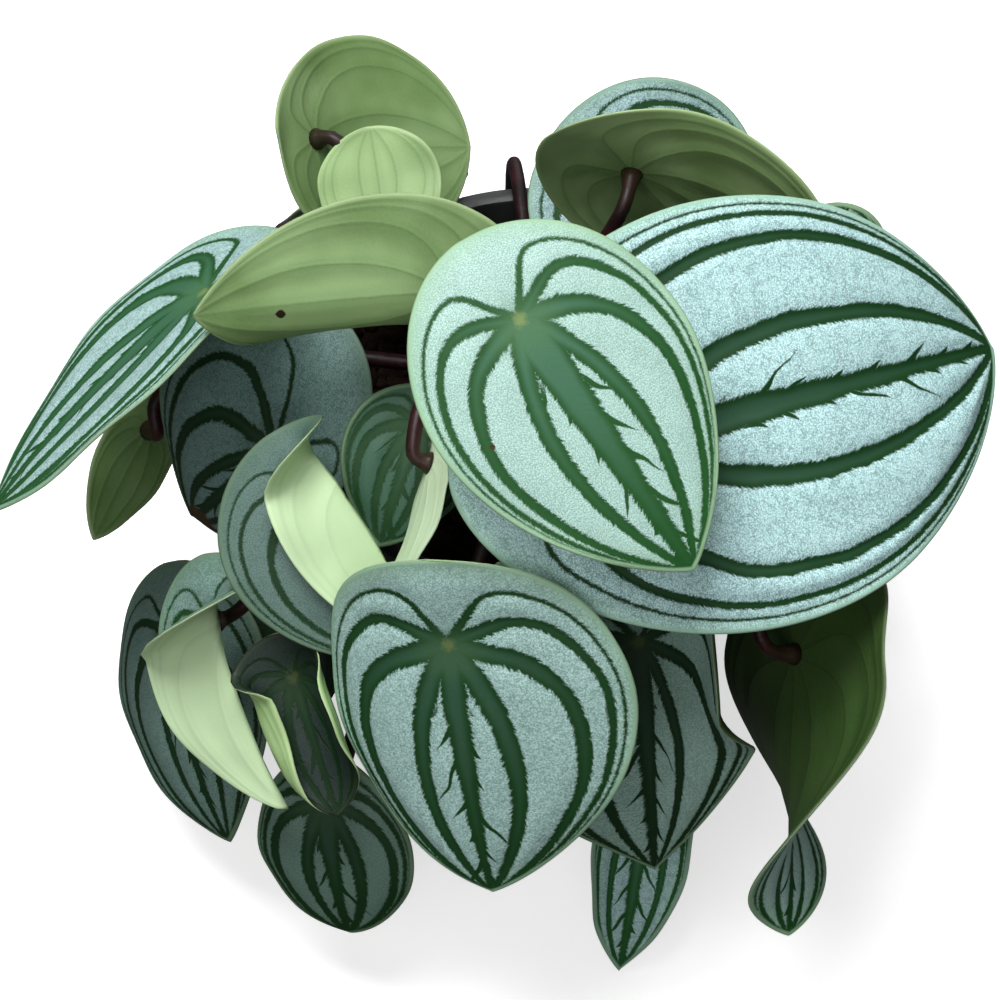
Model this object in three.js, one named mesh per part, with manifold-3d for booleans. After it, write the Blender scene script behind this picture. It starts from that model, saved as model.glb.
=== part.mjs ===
// Potted watermelon peperomia: a plain nursery pot, its soil, and one crown whose long stalks each
// carry a shield-shaped leaf blade. Millimetres, +Z up. The origin is the centre of the pot's
// underside, and the plant's fullest side looks towards -Y.
import * as THREE from 'three';
import { mergeVertices } from 'three/addons/utils/BufferGeometryUtils.js';
import Module from 'manifold-3d';

// Pot
const POT_HEIGHT = 105;
const POT_BASE_RADIUS = 44;
const POT_TOP_RADIUS = 58;
const POT_WALL = 1.6;
const POT_FLOOR = 2.4;
const RIM_RADIUS = 61;
const RIM_DEPTH = 9;
const RIM_ROUND = 1.2; // how far the rim's edges are rounded off
const BASE_CHAMFER = 2;
const DRAIN_COUNT = 6;
const DRAIN_RADIUS = 5;
const DRAIN_CIRCLE = 30;
const DRAIN_SIDES = 10;
const ROUND_SIDES = 40;

// Soil and crown
const SOIL_TOP = 92;
const SOIL_LUMP = 1.6;
const SOIL_RINGS = [0.85, 0.7, 0.55, 0.4, 0.27]; // shares of the soil's radius, from the wall in
const SOIL_SIDES = 32;
const CROWN_RADIUS = 8;
const CROWN_DEPTH = 14;
const CROWN_HEIGHT = 9;
const CROWN_SIDES = 16;

// Leaves
const BLADE_THICKNESS = 0.8;
const STALK_RADIUS = 1.7;
const STALK_SIDES = 5;
const STALK_STEPS = 7;
const STALK_RISE = 9; // length of a stalk's last stretch, square to its blade
const STALK_ROOT = { radius: 3.2, height: 3 }; // every stalk starts here, over the soil,
const STALK_NECK = { radius: 8.8, height: 13 }; // and passes here
const STALK_SPREAD = { out: 0.4, up: 0.6 }; // then here, as shares of the way to its blade
const HANGING_BELOW = 110; // the stalk of a blade lower than this passes over the pot's rim
const STALK_ARCH = 15; // how high it rises over the rim, halfway to it,
const BESIDE_RIM = { out: 5, up: 3 }; // and how it clears the rim
const HUB = 0.25; // where a stalk meets its blade, as a share of the length from the base end
const CELLS = [8, 6]; // facets along and across a blade
const FOLD_RUN = 0.3; // the share of the tip's length over which a fold grows to its full angle
const CLEARANCE = 0.3;

// Each blade: "at" is the point over its stalk, "face" the compass angle and height of the
// direction that its upper side looks in, "roll" turns its tip from straight downhill, "wide" is
// width over length, "hub" the stalk's place along it, "bend" curls the tip and the base end
// towards the upper side, "cup" curls the left and the right half, "twist" turns the tip and the
// base end about the midrib. Angles are in degrees. "blunt" moves the widest place towards the tip,
// and "uneven" widens the right half and narrows the left by a share. "fold" curls one half more:
// side, place, angle, width, and where along the leaf it is full. "via" lists points that the stalk
// passes, "arch" is how high it rises over the rim, and "rise" is the length of its last straight
// stretch.
const LEAVES = [
  { "name": "leaf_centre", "at": [-6, -48, 188], "face": [-85, 62], "roll": 31,
    "length": 83, "wide": 0.7, "bend": [-12, -12], "cup": [-8, -8], "cells": [10, 8],
    "via": [[-22, -22, 135], [-27, -34, 166]] },
  { "name": "leaf_right", "at": [12, -58, 157], "face": [-74, 57], "roll": 92,
    "length": 135, "wide": 0.69, "bend": [-30, -5], "cup": [-6, -6], "blunt": 0.16,
    "cells": [10, 8] },
  { "name": "leaf_front", "at": [-21, -89, 130], "face": [-104, 31], "roll": 14,
    "length": 88, "wide": 0.82, "bend": [-16, 26], "cup": [-6, -45], "uneven": -0.08,
    "cells": [10, 8] },
  { "name": "leaf_front_right", "at": [21, -72, 104], "face": [-83, 30], "roll": 2,
    "length": 96, "hub": 0.3, "wide": 0.8, "uneven": 0.22, "bend": [-16, -10], "cup": [150, 0],
    "blunt": -0.2,
    "fold": [-1, 0.2, -100, 0.6, 0.45], "cells": [10, 8] },
  { "name": "leaf_low_right", "at": [25, -79, 54], "face": [-85, 30], "roll": -8,
    "length": 76, "wide": 0.36, "bend": [-10, -10], "cup": [60, 50],
    "via": [[16, -36, 112], [22, -61, 110], [22, -61, 86]] },
  { "name": "leaf_low_front", "at": [-50, -90, 63], "face": [-110, 30], "roll": 14,
    "length": 52, "wide": 0.74, "blunt": 0.2, "bend": [-20, -10], "cup": [-15, -10] },
  { "name": "leaf_low_left", "at": [-89, -42, 60], "face": [-154, 32], "roll": 60,
    "length": 70, "wide": 0.85, "bend": [-20, -10], "cup": [-20, -10],
    "via": [[-36, -12, 110], [-61, -22, 110], [-66, -28, 88]] },
  { "name": "leaf_left_turned", "at": [-74, -65, 101], "face": [-125, 40], "roll": 42,
    "length": 62, "wide": 0.62, "uneven": -0.15, "bend": [-15, -20], "cup": [0, 10],
    "fold": [-1, 0, 170, 0.2, 0.1], "cells": [10, 12], "arch": 10 },
  { "name": "leaf_rolled", "at": [-56, -77, 97], "face": [-106, 42], "roll": 30,
    "length": 44, "wide": 0.84, "bend": [10, 20], "cup": [110, 40],
    "fold": [1, 0.5, 140, 0.25, 0.1], "cells": [8, 12] },
  { "name": "leaf_folded", "at": [-52, -50, 131], "face": [-99, 52], "roll": 40,
    "length": 60, "wide": 0.88, "uneven": -0.03, "bend": [-10, 0], "cup": [0, 10],
    "fold": [-1, 0.215, 165, 0.17, -0.05], "cells": [8, 12],
    "via": [[-18, -22, 114], [-36, -40, 115], [-45, -47, 118]] },
  { "name": "leaf_left_inner", "at": [-66, -23, 121], "face": [-137, 46], "roll": -14,
    "length": 70, "hub": 0.45, "wide": 0.8, "bend": [-44, -16], "cup": [-5, 10], "cells": [8, 8] },
  { "name": "leaf_left_long", "at": [-76, -7, 146], "face": [152, 47], "roll": 55,
    "length": 92, "wide": 0.7, "bend": [-10, -10], "cup": [8, 10],
    "via": [[-36, 18, 120], [-58, 20, 139]] },
  { "name": "leaf_left_under", "at": [-95, 1, 84], "face": [115, -39], "roll": 47,
    "length": 40, "wide": 0.48, "bend": [-10, -10], "cup": [10, 10],
    "via": [[-36, 2, 110], [-70, 4, 110], [-92, 0, 98]] },
  { "name": "leaf_back_flipped", "at": [-21, -26, 170], "face": [82, -40], "roll": 80,
    "length": 73, "wide": 0.6, "bend": [-20, -10], "cup": [10, 150], "cells": [8, 10],
    "rise": 6,
    "via": [[2, -14, 140], [4, -27, 162], [-2, -32, 169]] },
  { "name": "leaf_back_small", "at": [-36, 9, 149], "face": [70, -60], "roll": 155,
    "length": 32, "wide": 0.9, "blunt": 0.3, "bend": [-10, -10], "cup": [10, 10],
    "via": [[-20, 2, 130], [-26, -6, 150]] },
  { "name": "leaf_back_left", "at": [-52, 31, 155], "face": [155, -39], "roll": -42,
    "length": 56, "wide": 0.94, "bend": [-24, -20], "cup": [10, 10], "blunt": 0.25,
    "rise": 6 },
  { "name": "leaf_back_right_turned", "at": [20, 22, 154], "face": [79, 9], "roll": -62,
    "length": 90, "wide": 0.6, "bend": [-40, -8], "cup": [-20, 20] },
  { "name": "leaf_back_right", "at": [16, 44, 131], "face": [-98, 46], "roll": 56,
    "length": 63, "wide": 0.92, "bend": [10, -10], "cup": [10, 40],
    "via": [[8, 36, 108]] },
  { "name": "leaf_right_hanging", "at": [57, -68, 92], "face": [17, -30], "roll": -49,
    "length": 92, "hub": 0.3, "wide": 0.8, "uneven": 0.02, "bend": [10, 0], "cup": [25, -15],
    "twist": [-100, 30], "cells": [10, 8] },
  { "name": "leaf_young_ridged", "at": [-28, -34, 133], "face": [-95, 62], "roll": -14,
    "length": 38, "wide": 0.8, "bend": [-10, -10], "cup": [10, 10] },
  { "name": "leaf_young_pale", "at": [-25, -50, 141], "face": [-3, -24], "roll": -53,
    "length": 44, "wide": 0.46, "bend": [0, 0], "cup": [30, 30], "rise": 4,
    "via": [[-8, -24, 126], [-26, -36, 147]] },
  { "name": "leaf_rear_high", "at": [-40, 58, 108], "face": [108, 35], "roll": 0,
    "length": 66, "wide": 0.74, "bend": [-20, -10], "cup": [-8, -8] },
  { "name": "leaf_rear_high_right", "at": [36, 62, 106], "face": [65, 35], "roll": 0,
    "length": 66, "wide": 0.76, "bend": [-20, -10], "cup": [-8, -8], "arch": 5 },
  { "name": "leaf_rear_left", "at": [-62, 58, 74], "face": [130, 22], "roll": 0,
    "length": 60, "wide": 0.76, "bend": [-20, -10], "cup": [-8, -8] },
  { "name": "leaf_rear_right", "at": [68, 50, 78], "face": [38, 25], "roll": 0,
    "length": 62, "wide": 0.78, "bend": [-20, -10], "cup": [-8, -8], "arch": 5 },
  { "name": "leaf_rear_middle", "at": [-8, 80, 66], "face": [96, 18], "roll": 0,
    "length": 60, "wide": 0.76, "bend": [-16, -10], "cup": [-8, -8], "arch": 5 },
  { "name": "leaf_rear_low_right", "at": [34, 80, 46], "face": [68, 12], "roll": 0,
    "length": 52, "wide": 0.76, "bend": [-10, -10], "cup": [-8, -8] },
  { "name": "leaf_rear_low_left", "at": [-42, 76, 40], "face": [118, 14], "roll": 0,
    "length": 50, "wide": 0.74, "bend": [-10, -10], "cup": [-8, -8], "arch": 5 },
  { "name": "leaf_right_side", "at": [79, 2, 90], "face": [0, 32], "roll": 0,
    "length": 50, "wide": 0.76, "bend": [-16, -10], "cup": [-8, -8], "arch": 8 },
  { "name": "leaf_right_low", "at": [78, 32, 54], "face": [24, 14], "roll": 0,
    "length": 54, "wide": 0.74, "bend": [-10, -10], "cup": [-8, -8], "arch": 2 },
  { "name": "leaf_left_side", "at": [-82, 30, 80], "face": [162, 25], "roll": 0,
    "length": 56, "wide": 0.74, "bend": [-16, -10], "cup": [-8, -8] },
  { "name": "leaf_left_low", "at": [-78, 46, 42], "face": [145, 14], "roll": 0,
    "length": 48, "wide": 0.74, "bend": [-10, -10], "cup": [-8, -8] },
  { "name": "leaf_right_tip", "at": [71, 25, 106], "face": [-90, 40], "roll": 180,
    "length": 30, "wide": 0.8, "blunt": 0.35, "bend": [-10, -10], "cup": [10, 10],
    "via": [[30, 22, 110], [62, 38, 110]] },
  { "name": "leaf_left_deep", "at": [-60, -50, 78], "face": [-128, 40], "roll": 0,
    "length": 46, "wide": 0.8, "bend": [-10, -10], "cup": [-8, -8],
    "via": [[-33, -27, 117], [-49.5, -40.5, 107], [-52, -42, 92]] },
];

const wasm = await Module();
wasm.setup();

const DEGREE = Math.PI / 180;
const clamp = (v, low, high) => Math.min(Math.max(v, low), high);
const smooth = (v) => v * v * (3 - 2 * v);

// --- joining and cutting closed meshes ---

function toSolid(geometry) {
  const bare = geometry.index ? geometry.toNonIndexed() : geometry.clone();
  bare.deleteAttribute('normal');
  bare.deleteAttribute('uv');
  const merged = mergeVertices(bare, 1e-4);
  return new wasm.Manifold(new wasm.Mesh({
    numProp: 3,
    vertProperties: new Float32Array(merged.attributes.position.array),
    triVerts: new Uint32Array(merged.index.array),
  }));
}

function toGeometry(solid) {
  const mesh = solid.getMesh();
  const geometry = new THREE.BufferGeometry();
  geometry.setAttribute('position', new THREE.BufferAttribute(mesh.vertProperties, 3));
  geometry.setIndex(new THREE.BufferAttribute(mesh.triVerts, 1));
  return geometry;
}

// Lathe about +Z of a profile of [radius, height] pairs that starts and ends on the axis
function turned(profile, sides) {
  const points = profile.map(([r, z]) => new THREE.Vector2(r, z));
  return new THREE.LatheGeometry(points, sides).rotateX(Math.PI / 2);
}

// --- pot ---

function wallRadius(z) {
  return POT_BASE_RADIUS + (POT_TOP_RADIUS - POT_BASE_RADIUS) * z / POT_HEIGHT;
}

function makePot() {
  const rimFoot = POT_HEIGHT - RIM_DEPTH;
  let pot = toSolid(turned([
    [0, 0],
    [POT_BASE_RADIUS - BASE_CHAMFER, 0],
    [wallRadius(BASE_CHAMFER), BASE_CHAMFER],
    [wallRadius(rimFoot), rimFoot],
    [RIM_RADIUS - RIM_ROUND, rimFoot],
    [RIM_RADIUS, rimFoot + RIM_ROUND],
    [RIM_RADIUS, POT_HEIGHT - RIM_ROUND],
    [RIM_RADIUS - RIM_ROUND, POT_HEIGHT],
    [POT_TOP_RADIUS - POT_WALL + RIM_ROUND, POT_HEIGHT],
    [POT_TOP_RADIUS - POT_WALL, POT_HEIGHT - RIM_ROUND],
    [wallRadius(POT_FLOOR) - POT_WALL, POT_FLOOR],
    [0, POT_FLOOR],
  ], ROUND_SIDES));
  for (let i = 0; i < DRAIN_COUNT; i += 1) {
    const angle = i * 2 * Math.PI / DRAIN_COUNT;
    const drill = new THREE.CylinderGeometry(DRAIN_RADIUS, DRAIN_RADIUS, 4 * POT_FLOOR, DRAIN_SIDES);
    const hole = drill.rotateX(Math.PI / 2)
      .translate(DRAIN_CIRCLE * Math.cos(angle), DRAIN_CIRCLE * Math.sin(angle), 0);
    pot = pot.subtract(toSolid(hole));
  }
  return toGeometry(pot);
}

// --- soil: fills the pot, with an uneven top and a plain hole for the crown ---

function soilLump(x, y) {
  const waves = Math.sin(0.21 * x + 1) * Math.cos(0.17 * y) + 0.6 * Math.sin(0.37 * (x + y));
  return SOIL_LUMP * waves;
}

function makeSoil() {
  const side = (z) => wallRadius(z) - POT_WALL - 2 * CLEARANCE;
  const bottom = POT_FLOOR + CLEARANCE;
  const holeBottom = SOIL_TOP - CROWN_DEPTH;
  const holeRadius = CROWN_RADIUS + CLEARANCE;
  const rings = SOIL_RINGS.map((share) => [share * side(SOIL_TOP), SOIL_TOP]);
  const geometry = turned([
    [0, bottom],
    [side(bottom), bottom],
    [side(SOIL_TOP), SOIL_TOP],
    ...rings,
    [holeRadius, SOIL_TOP],
    [holeRadius, holeBottom],
    [0, holeBottom],
  ], SOIL_SIDES);
  const position = geometry.attributes.position;
  for (let i = 0; i < position.count; i += 1) {
    const x = position.getX(i);
    const y = position.getY(i);
    const r = Math.hypot(x, y);
    const onRing = rings.some(([ring]) => Math.abs(r - ring) < 0.01);
    if (onRing && position.getZ(i) === SOIL_TOP) {
      position.setZ(i, SOIL_TOP + soilLump(x, y));
    }
  }
  return toGeometry(toSolid(geometry));
}

// --- leaf blades ---

function halfWidth(s, blunt) {
  return s ** (0.5 + 0.4 * blunt) * (1 - s) ** (0.85 - blunt) * (1 + 0.3 * s);
}

function widest(blunt) {
  let best = 0;
  for (let s = 0.01; s < 1; s += 0.01) {
    best = Math.max(best, halfWidth(s, blunt));
  }
  return best;
}

// Along and up of an arc of curvature k after a length u
function arc(k, u) {
  const safe = Math.abs(k) < 1e-6 ? 1e-6 : k;
  return [Math.sin(safe * u) / safe, (1 - Math.cos(safe * u)) / safe];
}

// Directions at the hub: to the tip, across to the right, and out of the upper side
function leafAxes(leaf) {
  const [azimuth, height] = leaf.face.map((v) => v * DEGREE);
  const flat = new THREE.Vector3(Math.cos(azimuth), Math.sin(azimuth), 0);
  const out = flat.clone().multiplyScalar(Math.cos(height)).setZ(Math.sin(height));
  const down = flat.clone().multiplyScalar(Math.sin(height)).setZ(-Math.cos(height));
  const side = new THREE.Vector3().crossVectors(out, down);
  const tip = down.multiplyScalar(Math.cos(leaf.roll * DEGREE))
    .addScaledVector(side, Math.sin(leaf.roll * DEGREE));
  return { tip, out, across: new THREE.Vector3().crossVectors(tip, out) };
}

// Where a point at a distance q from the midrib lies in the cross-section: [across, up]
function crossSection(leaf, x, half, alongShare) {
  const halfMost = leaf.length * leaf.wide / 2;
  const q = Math.abs(x);
  const k = leaf.cup[x < 0 ? 0 : 1] * DEGREE / halfMost;
  if (!leaf.fold || x * leaf.fold[0] <= 0) {
    return arc(k, q);
  }
  const [, place, angle, width, start] = leaf.fold;
  const foldFrom = place * half;
  const foldWidth = width * halfMost;
  const full = smooth(clamp((alongShare - start) / FOLD_RUN + 1, 0, 1));
  const stretches = [
    [k, Math.min(q, foldFrom)],
    [k + angle * DEGREE * full / foldWidth, clamp(q - foldFrom, 0, foldWidth)],
    [k, Math.max(q - foldFrom - foldWidth, 0)],
  ];
  let [across, up, turn] = [0, 0, 0];
  for (const [curve, run] of stretches) {
    const [a, u] = arc(curve, run);
    across += a * Math.cos(turn) - u * Math.sin(turn);
    up += a * Math.sin(turn) + u * Math.cos(turn);
    turn += curve * run;
  }
  return [across, up];
}

// A point of the blade's middle surface: s runs from base end to tip, t from left to right edge
function bladePoint(leaf, axes, s, t) {
  const blunt = leaf.blunt ?? 0;
  const hubShare = leaf.hub ?? HUB;
  const tipRun = (1 - hubShare) * leaf.length;
  const baseRun = hubShare * leaf.length;
  const y = (s - hubShare) * leaf.length;
  const half = leaf.length * leaf.wide / 2 * halfWidth(s, blunt) / widest(blunt);
  const kTip = leaf.bend[0] * DEGREE / tipRun;
  const kBase = leaf.bend[1] * DEGREE / baseRun;
  const [alongTip, upTip] = arc(kTip, Math.max(y, 0));
  const [alongBase, upBase] = arc(kBase, Math.max(-y, 0));
  const lean = kTip * Math.max(y, 0) - kBase * Math.max(-y, 0);
  const out = axes.out.clone().multiplyScalar(Math.cos(lean));
  out.addScaledVector(axes.tip, -Math.sin(lean));
  const [twistTip, twistBase] = leaf.twist ?? [0, 0];
  const turn = DEGREE * (y > 0 ? twistTip * (y / tipRun) ** 2 : twistBase * (y / baseRun) ** 2);
  const across = axes.across.clone().multiplyScalar(Math.cos(turn));
  across.addScaledVector(out, Math.sin(turn));
  out.multiplyScalar(Math.cos(turn)).addScaledVector(axes.across, -Math.sin(turn));
  const stretch = 1 + Math.sign(t) * (leaf.uneven ?? 0);
  const [sideways, up] = crossSection(leaf, t * half * stretch, half, y / tipRun);
  return new THREE.Vector3(...leaf.at)
    .addScaledVector(axes.tip, alongTip - alongBase)
    .addScaledVector(axes.out, upTip + upBase)
    .addScaledVector(across, Math.sign(t) * sideways)
    .addScaledVector(out, up);
}

function bladeNormal(leaf, axes, s, t) {
  const step = 0.004;
  const [s0, s1] = [clamp(s - step, step, 1 - 3 * step), clamp(s + step, 3 * step, 1 - step)];
  const [t0, t1] = [clamp(t - step, -1, 1), clamp(t + step, -1, 1)];
  const middle = (s0 + s1) / 2;
  const along = bladePoint(leaf, axes, s1, t).sub(bladePoint(leaf, axes, s0, t));
  const over = bladePoint(leaf, axes, middle, t1).sub(bladePoint(leaf, axes, middle, t0));
  return along.cross(over).multiplyScalar(-1).normalize();
}

function makeBlade(leaf) {
  const axes = leafAxes(leaf);
  const [rows, columns] = leaf.cells ?? CELLS;
  const points = [];
  const addPair = (s, t) => {
    const middle = bladePoint(leaf, axes, s, t);
    const offset = bladeNormal(leaf, axes, s, t).multiplyScalar(BLADE_THICKNESS / 2);
    points.push(middle.clone().add(offset), middle.clone().sub(offset));
    return points.length / 2 - 1;
  };
  const grid = [];
  for (let i = 0; i <= rows; i += 1) {
    const s = 0.5 - 0.5 * Math.cos(Math.PI * i / rows);
    const row = [];
    for (let j = 0; j <= columns; j += 1) {
      const atEnd = i === 0 || i === rows;
      row.push(atEnd && j > 0 ? row[0] : addPair(s, atEnd ? 0 : 2 * j / columns - 1));
    }
    grid.push(row);
  }
  const faces = [];
  const both = (a, b, c) => {
    if (a !== b && b !== c && c !== a) {
      faces.push(2 * a, 2 * b, 2 * c, 2 * a + 1, 2 * c + 1, 2 * b + 1);
    }
  };
  const edge = (a, b) => {
    faces.push(2 * a, 2 * a + 1, 2 * b + 1, 2 * a, 2 * b + 1, 2 * b);
  };
  for (let i = 0; i < rows; i += 1) {
    for (let j = 0; j < columns; j += 1) {
      both(grid[i][j], grid[i][j + 1], grid[i + 1][j + 1]);
      both(grid[i][j], grid[i + 1][j + 1], grid[i + 1][j]);
    }
    edge(grid[i + 1][0], grid[i][0]);
    edge(grid[i][columns], grid[i + 1][columns]);
  }
  const geometry = new THREE.BufferGeometry().setFromPoints(points);
  geometry.setIndex(faces);
  return geometry;
}

// --- crown with its stalks ---

function stalkCurve(leaf) {
  const { out } = leafAxes(leaf);
  const hub = new THREE.Vector3(...leaf.at);
  const reach = Math.hypot(hub.x, hub.y);
  const outward = new THREE.Vector3(hub.x / reach, hub.y / reach, 0);
  const place = (radius, height) => outward.clone().multiplyScalar(radius).setZ(height);
  const end = hub.clone().addScaledVector(out, -(BLADE_THICKNESS / 2 + CLEARANCE));
  const before = end.clone().addScaledVector(out, -(leaf.rise ?? STALK_RISE));
  const points = [STALK_ROOT, STALK_NECK].map((p) => place(p.radius, SOIL_TOP + p.height));
  if (leaf.via) {
    points.push(...leaf.via.map((spot) => new THREE.Vector3(...spot)));
  } else if (hub.z < HANGING_BELOW) {
    const arch = leaf.arch ?? STALK_ARCH;
    points.push(place(RIM_RADIUS / 2, POT_HEIGHT + arch));
    points.push(place(RIM_RADIUS + BESIDE_RIM.out, POT_HEIGHT + BESIDE_RIM.up + arch / 3));
  } else {
    const climb = hub.z - SOIL_TOP;
    points.push(place(STALK_SPREAD.out * reach, SOIL_TOP + STALK_SPREAD.up * climb));
  }
  points.push(before);
  const path = new THREE.CurvePath();
  path.add(new THREE.CatmullRomCurve3(points));
  path.add(new THREE.LineCurve3(before, end));
  return path;
}

function makeCrown() {
  let crown = toSolid(turned([
    [0, SOIL_TOP - CROWN_DEPTH + CLEARANCE],
    [CROWN_RADIUS, SOIL_TOP - CROWN_DEPTH + CLEARANCE],
    [CROWN_RADIUS, SOIL_TOP + 0.2 * CROWN_HEIGHT],
    [0.7 * CROWN_RADIUS, SOIL_TOP + 0.8 * CROWN_HEIGHT],
    [0, SOIL_TOP + CROWN_HEIGHT],
  ], CROWN_SIDES));
  const round = new THREE.Shape();
  for (let i = 0; i < STALK_SIDES; i += 1) {
    const angle = i * 2 * Math.PI / STALK_SIDES;
    const method = i === 0 ? 'moveTo' : 'lineTo';
    round[method](STALK_RADIUS * Math.cos(angle), STALK_RADIUS * Math.sin(angle));
  }
  for (const leaf of LEAVES) {
    const extrudePath = stalkCurve(leaf);
    const tube = new THREE.ExtrudeGeometry(round, { steps: STALK_STEPS, extrudePath });
    crown = crown.add(toSolid(tube));
  }
  return toGeometry(crown);
}

// --- the whole plant ---

const group = new THREE.Group();

function add(name, geometry, color, roughness) {
  const material = new THREE.MeshStandardMaterial({ color, roughness, metalness: 0 });
  const mesh = new THREE.Mesh(geometry, material);
  mesh.name = name;
  group.add(mesh);
}

add('pot', makePot(), 0x161a18, 0.55);
add('soil', makeSoil(), 0x241a14, 0.95);
add('crown', makeCrown(), 0x451a22, 0.5);
for (const leaf of LEAVES) {
  add(leaf.name, makeBlade(leaf), 0x8fb5a0, 0.45);
}

export default group;
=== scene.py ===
"""Potted watermelon peperomia: fine leaf blades, stalks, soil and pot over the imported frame.

Lengths in the tables are millimetres and are turned into metres when a mesh is made. The leaf model
is the one that the solids are made with, so every blade lies where its solid is.
"""
import math
import random

import bmesh
import bpy
import numpy as np
from mathutils import Matrix, Vector, noise


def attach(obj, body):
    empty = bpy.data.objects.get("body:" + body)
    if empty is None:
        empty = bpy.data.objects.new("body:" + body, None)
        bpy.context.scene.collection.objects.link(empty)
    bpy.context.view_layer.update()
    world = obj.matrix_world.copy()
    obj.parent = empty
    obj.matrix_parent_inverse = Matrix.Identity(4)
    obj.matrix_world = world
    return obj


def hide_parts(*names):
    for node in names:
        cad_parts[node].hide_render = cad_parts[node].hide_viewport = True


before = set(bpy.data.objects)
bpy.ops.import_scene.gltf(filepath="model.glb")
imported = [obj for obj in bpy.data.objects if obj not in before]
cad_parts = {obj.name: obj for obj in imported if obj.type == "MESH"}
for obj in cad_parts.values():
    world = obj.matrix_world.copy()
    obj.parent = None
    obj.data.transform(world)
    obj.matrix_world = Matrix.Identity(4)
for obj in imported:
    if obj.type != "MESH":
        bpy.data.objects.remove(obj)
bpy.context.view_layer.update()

MM = 0.001

# Room, lights and camera, in metres, watts and degrees
FLOOR_HALF = 2.5
WALL_HEIGHT = 4
FLOOR_GLOW = 0.6  # keeps the floor pale in the plant's shadow
WALL_GLOW = 0.85
SKY_STRENGTH = 0.08
LIGHT_AIM = (-0.01, -0.02, 0.11)
LIGHTS = [("key", (-0.25, 0.1, 1.5), 0.7, 20), ("fill", (-0.3, -1.2, 1.1), 1.2, 8),
          ("back", (0.2, 1.2, 0.6), 1.0, 3)]  # name, place, size and power
CAMERA_PLACE = (-0.010, -0.4108, 0.6425)
CAMERA_TILT = 35  # from straight down
CAMERA_LENS = 102.96
CAMERA_SENSOR = 36

# Pot
POT_HEIGHT = 105
POT_BASE_RADIUS = 44
POT_TOP_RADIUS = 58
POT_WALL = 1.6
POT_FLOOR = 2.4
RIM_RADIUS = 61
RIM_DEPTH = 9
RIM_ROUND = 1.2
CORNER_SHARE = 0.3  # how far the middle of a rounded corner stays from the sharp one
BASE_CHAMFER = 2
BASE_EASE = 0.6
WALL_STEPS = (30, 60, 85)
DRAIN_COUNT = 6
DRAIN_RADIUS = 5
DRAIN_CIRCLE = 30
DRAIN_SIDES = 32
ROUND_SIDES = 160
SHARP_FROM = 35  # degrees between faces

# Soil and crown
SOIL_TOP = 92
SOIL_LUMP = 1.6
SOIL_FINE_LUMP = 0.9
SOIL_EVEN = 0.97  # share of the radius beyond which the soil is flat
SOIL_RINGS = 46
SOIL_SIDES = 144
CRUMB_COUNT = 900
CRUMB_SEED = 11
CRUMB_SIZES = (0.7, 0.9, 1.2, 1.7, 2.3)
CROWN_RADIUS = 8
CROWN_DEPTH = 14
CROWN_HEIGHT = 9
CROWN_DOME = ((0.93, 0.5), (0.7, 0.8), (0.4, 0.95))  # shares of the radius and the height
CROWN_SIDES = 32

# Leaves
BLADE_THICKNESS = 0.8
EDGE_ROUND = 0.7
HUB_DIMPLE = 0.7
VEIN_GROOVE = 2.8  # how far from a vein the blade is still sunk
RIM_WAVE = 0.45
WAVE_REACH = 9
WAVE_TURNS = 17
BLADE_ROWS = 24  # from stalk to base end of a usual leaf, and twice that to the tip
BLADE_ROWS_LEAST = 12
STALK_FOOT_RADIUS = 2.0
STALK_RADIUS = 1.6
STALK_FLARE = 2.6
STALK_RISE = 9
STALK_ROOT = (3.2, 3)
STALK_NECK = (8.8, 13)
STALK_SPREAD = (0.4, 0.6)
HANGING_BELOW = 110
STALK_ARCH = 15
BESIDE_RIM = (5, 3)
STALK_STEPS = 8
STALK_SIDES = 14
HUB = 0.25
FOLD_RUN = 0.3
CLEARANCE = 0.3
USUAL_LENGTH = 83  # leaf length at which the stripe widths below are right

# Dark stripes, from the midrib outwards: angle at the hub, how late the stripe turns towards the tip,
# half width at the hub and at the margin, and how late it narrows
STRIPES = [(0, 1, 3.5, 0.8, 1), (33, 1.5, 2.2, 0.8, 3), (76, 3.3, 2.2, 0.75, 3), (116, 5, 1.5, 0.4, 3),
           (148, 8, 0.8, 0.15, 2)]

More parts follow.
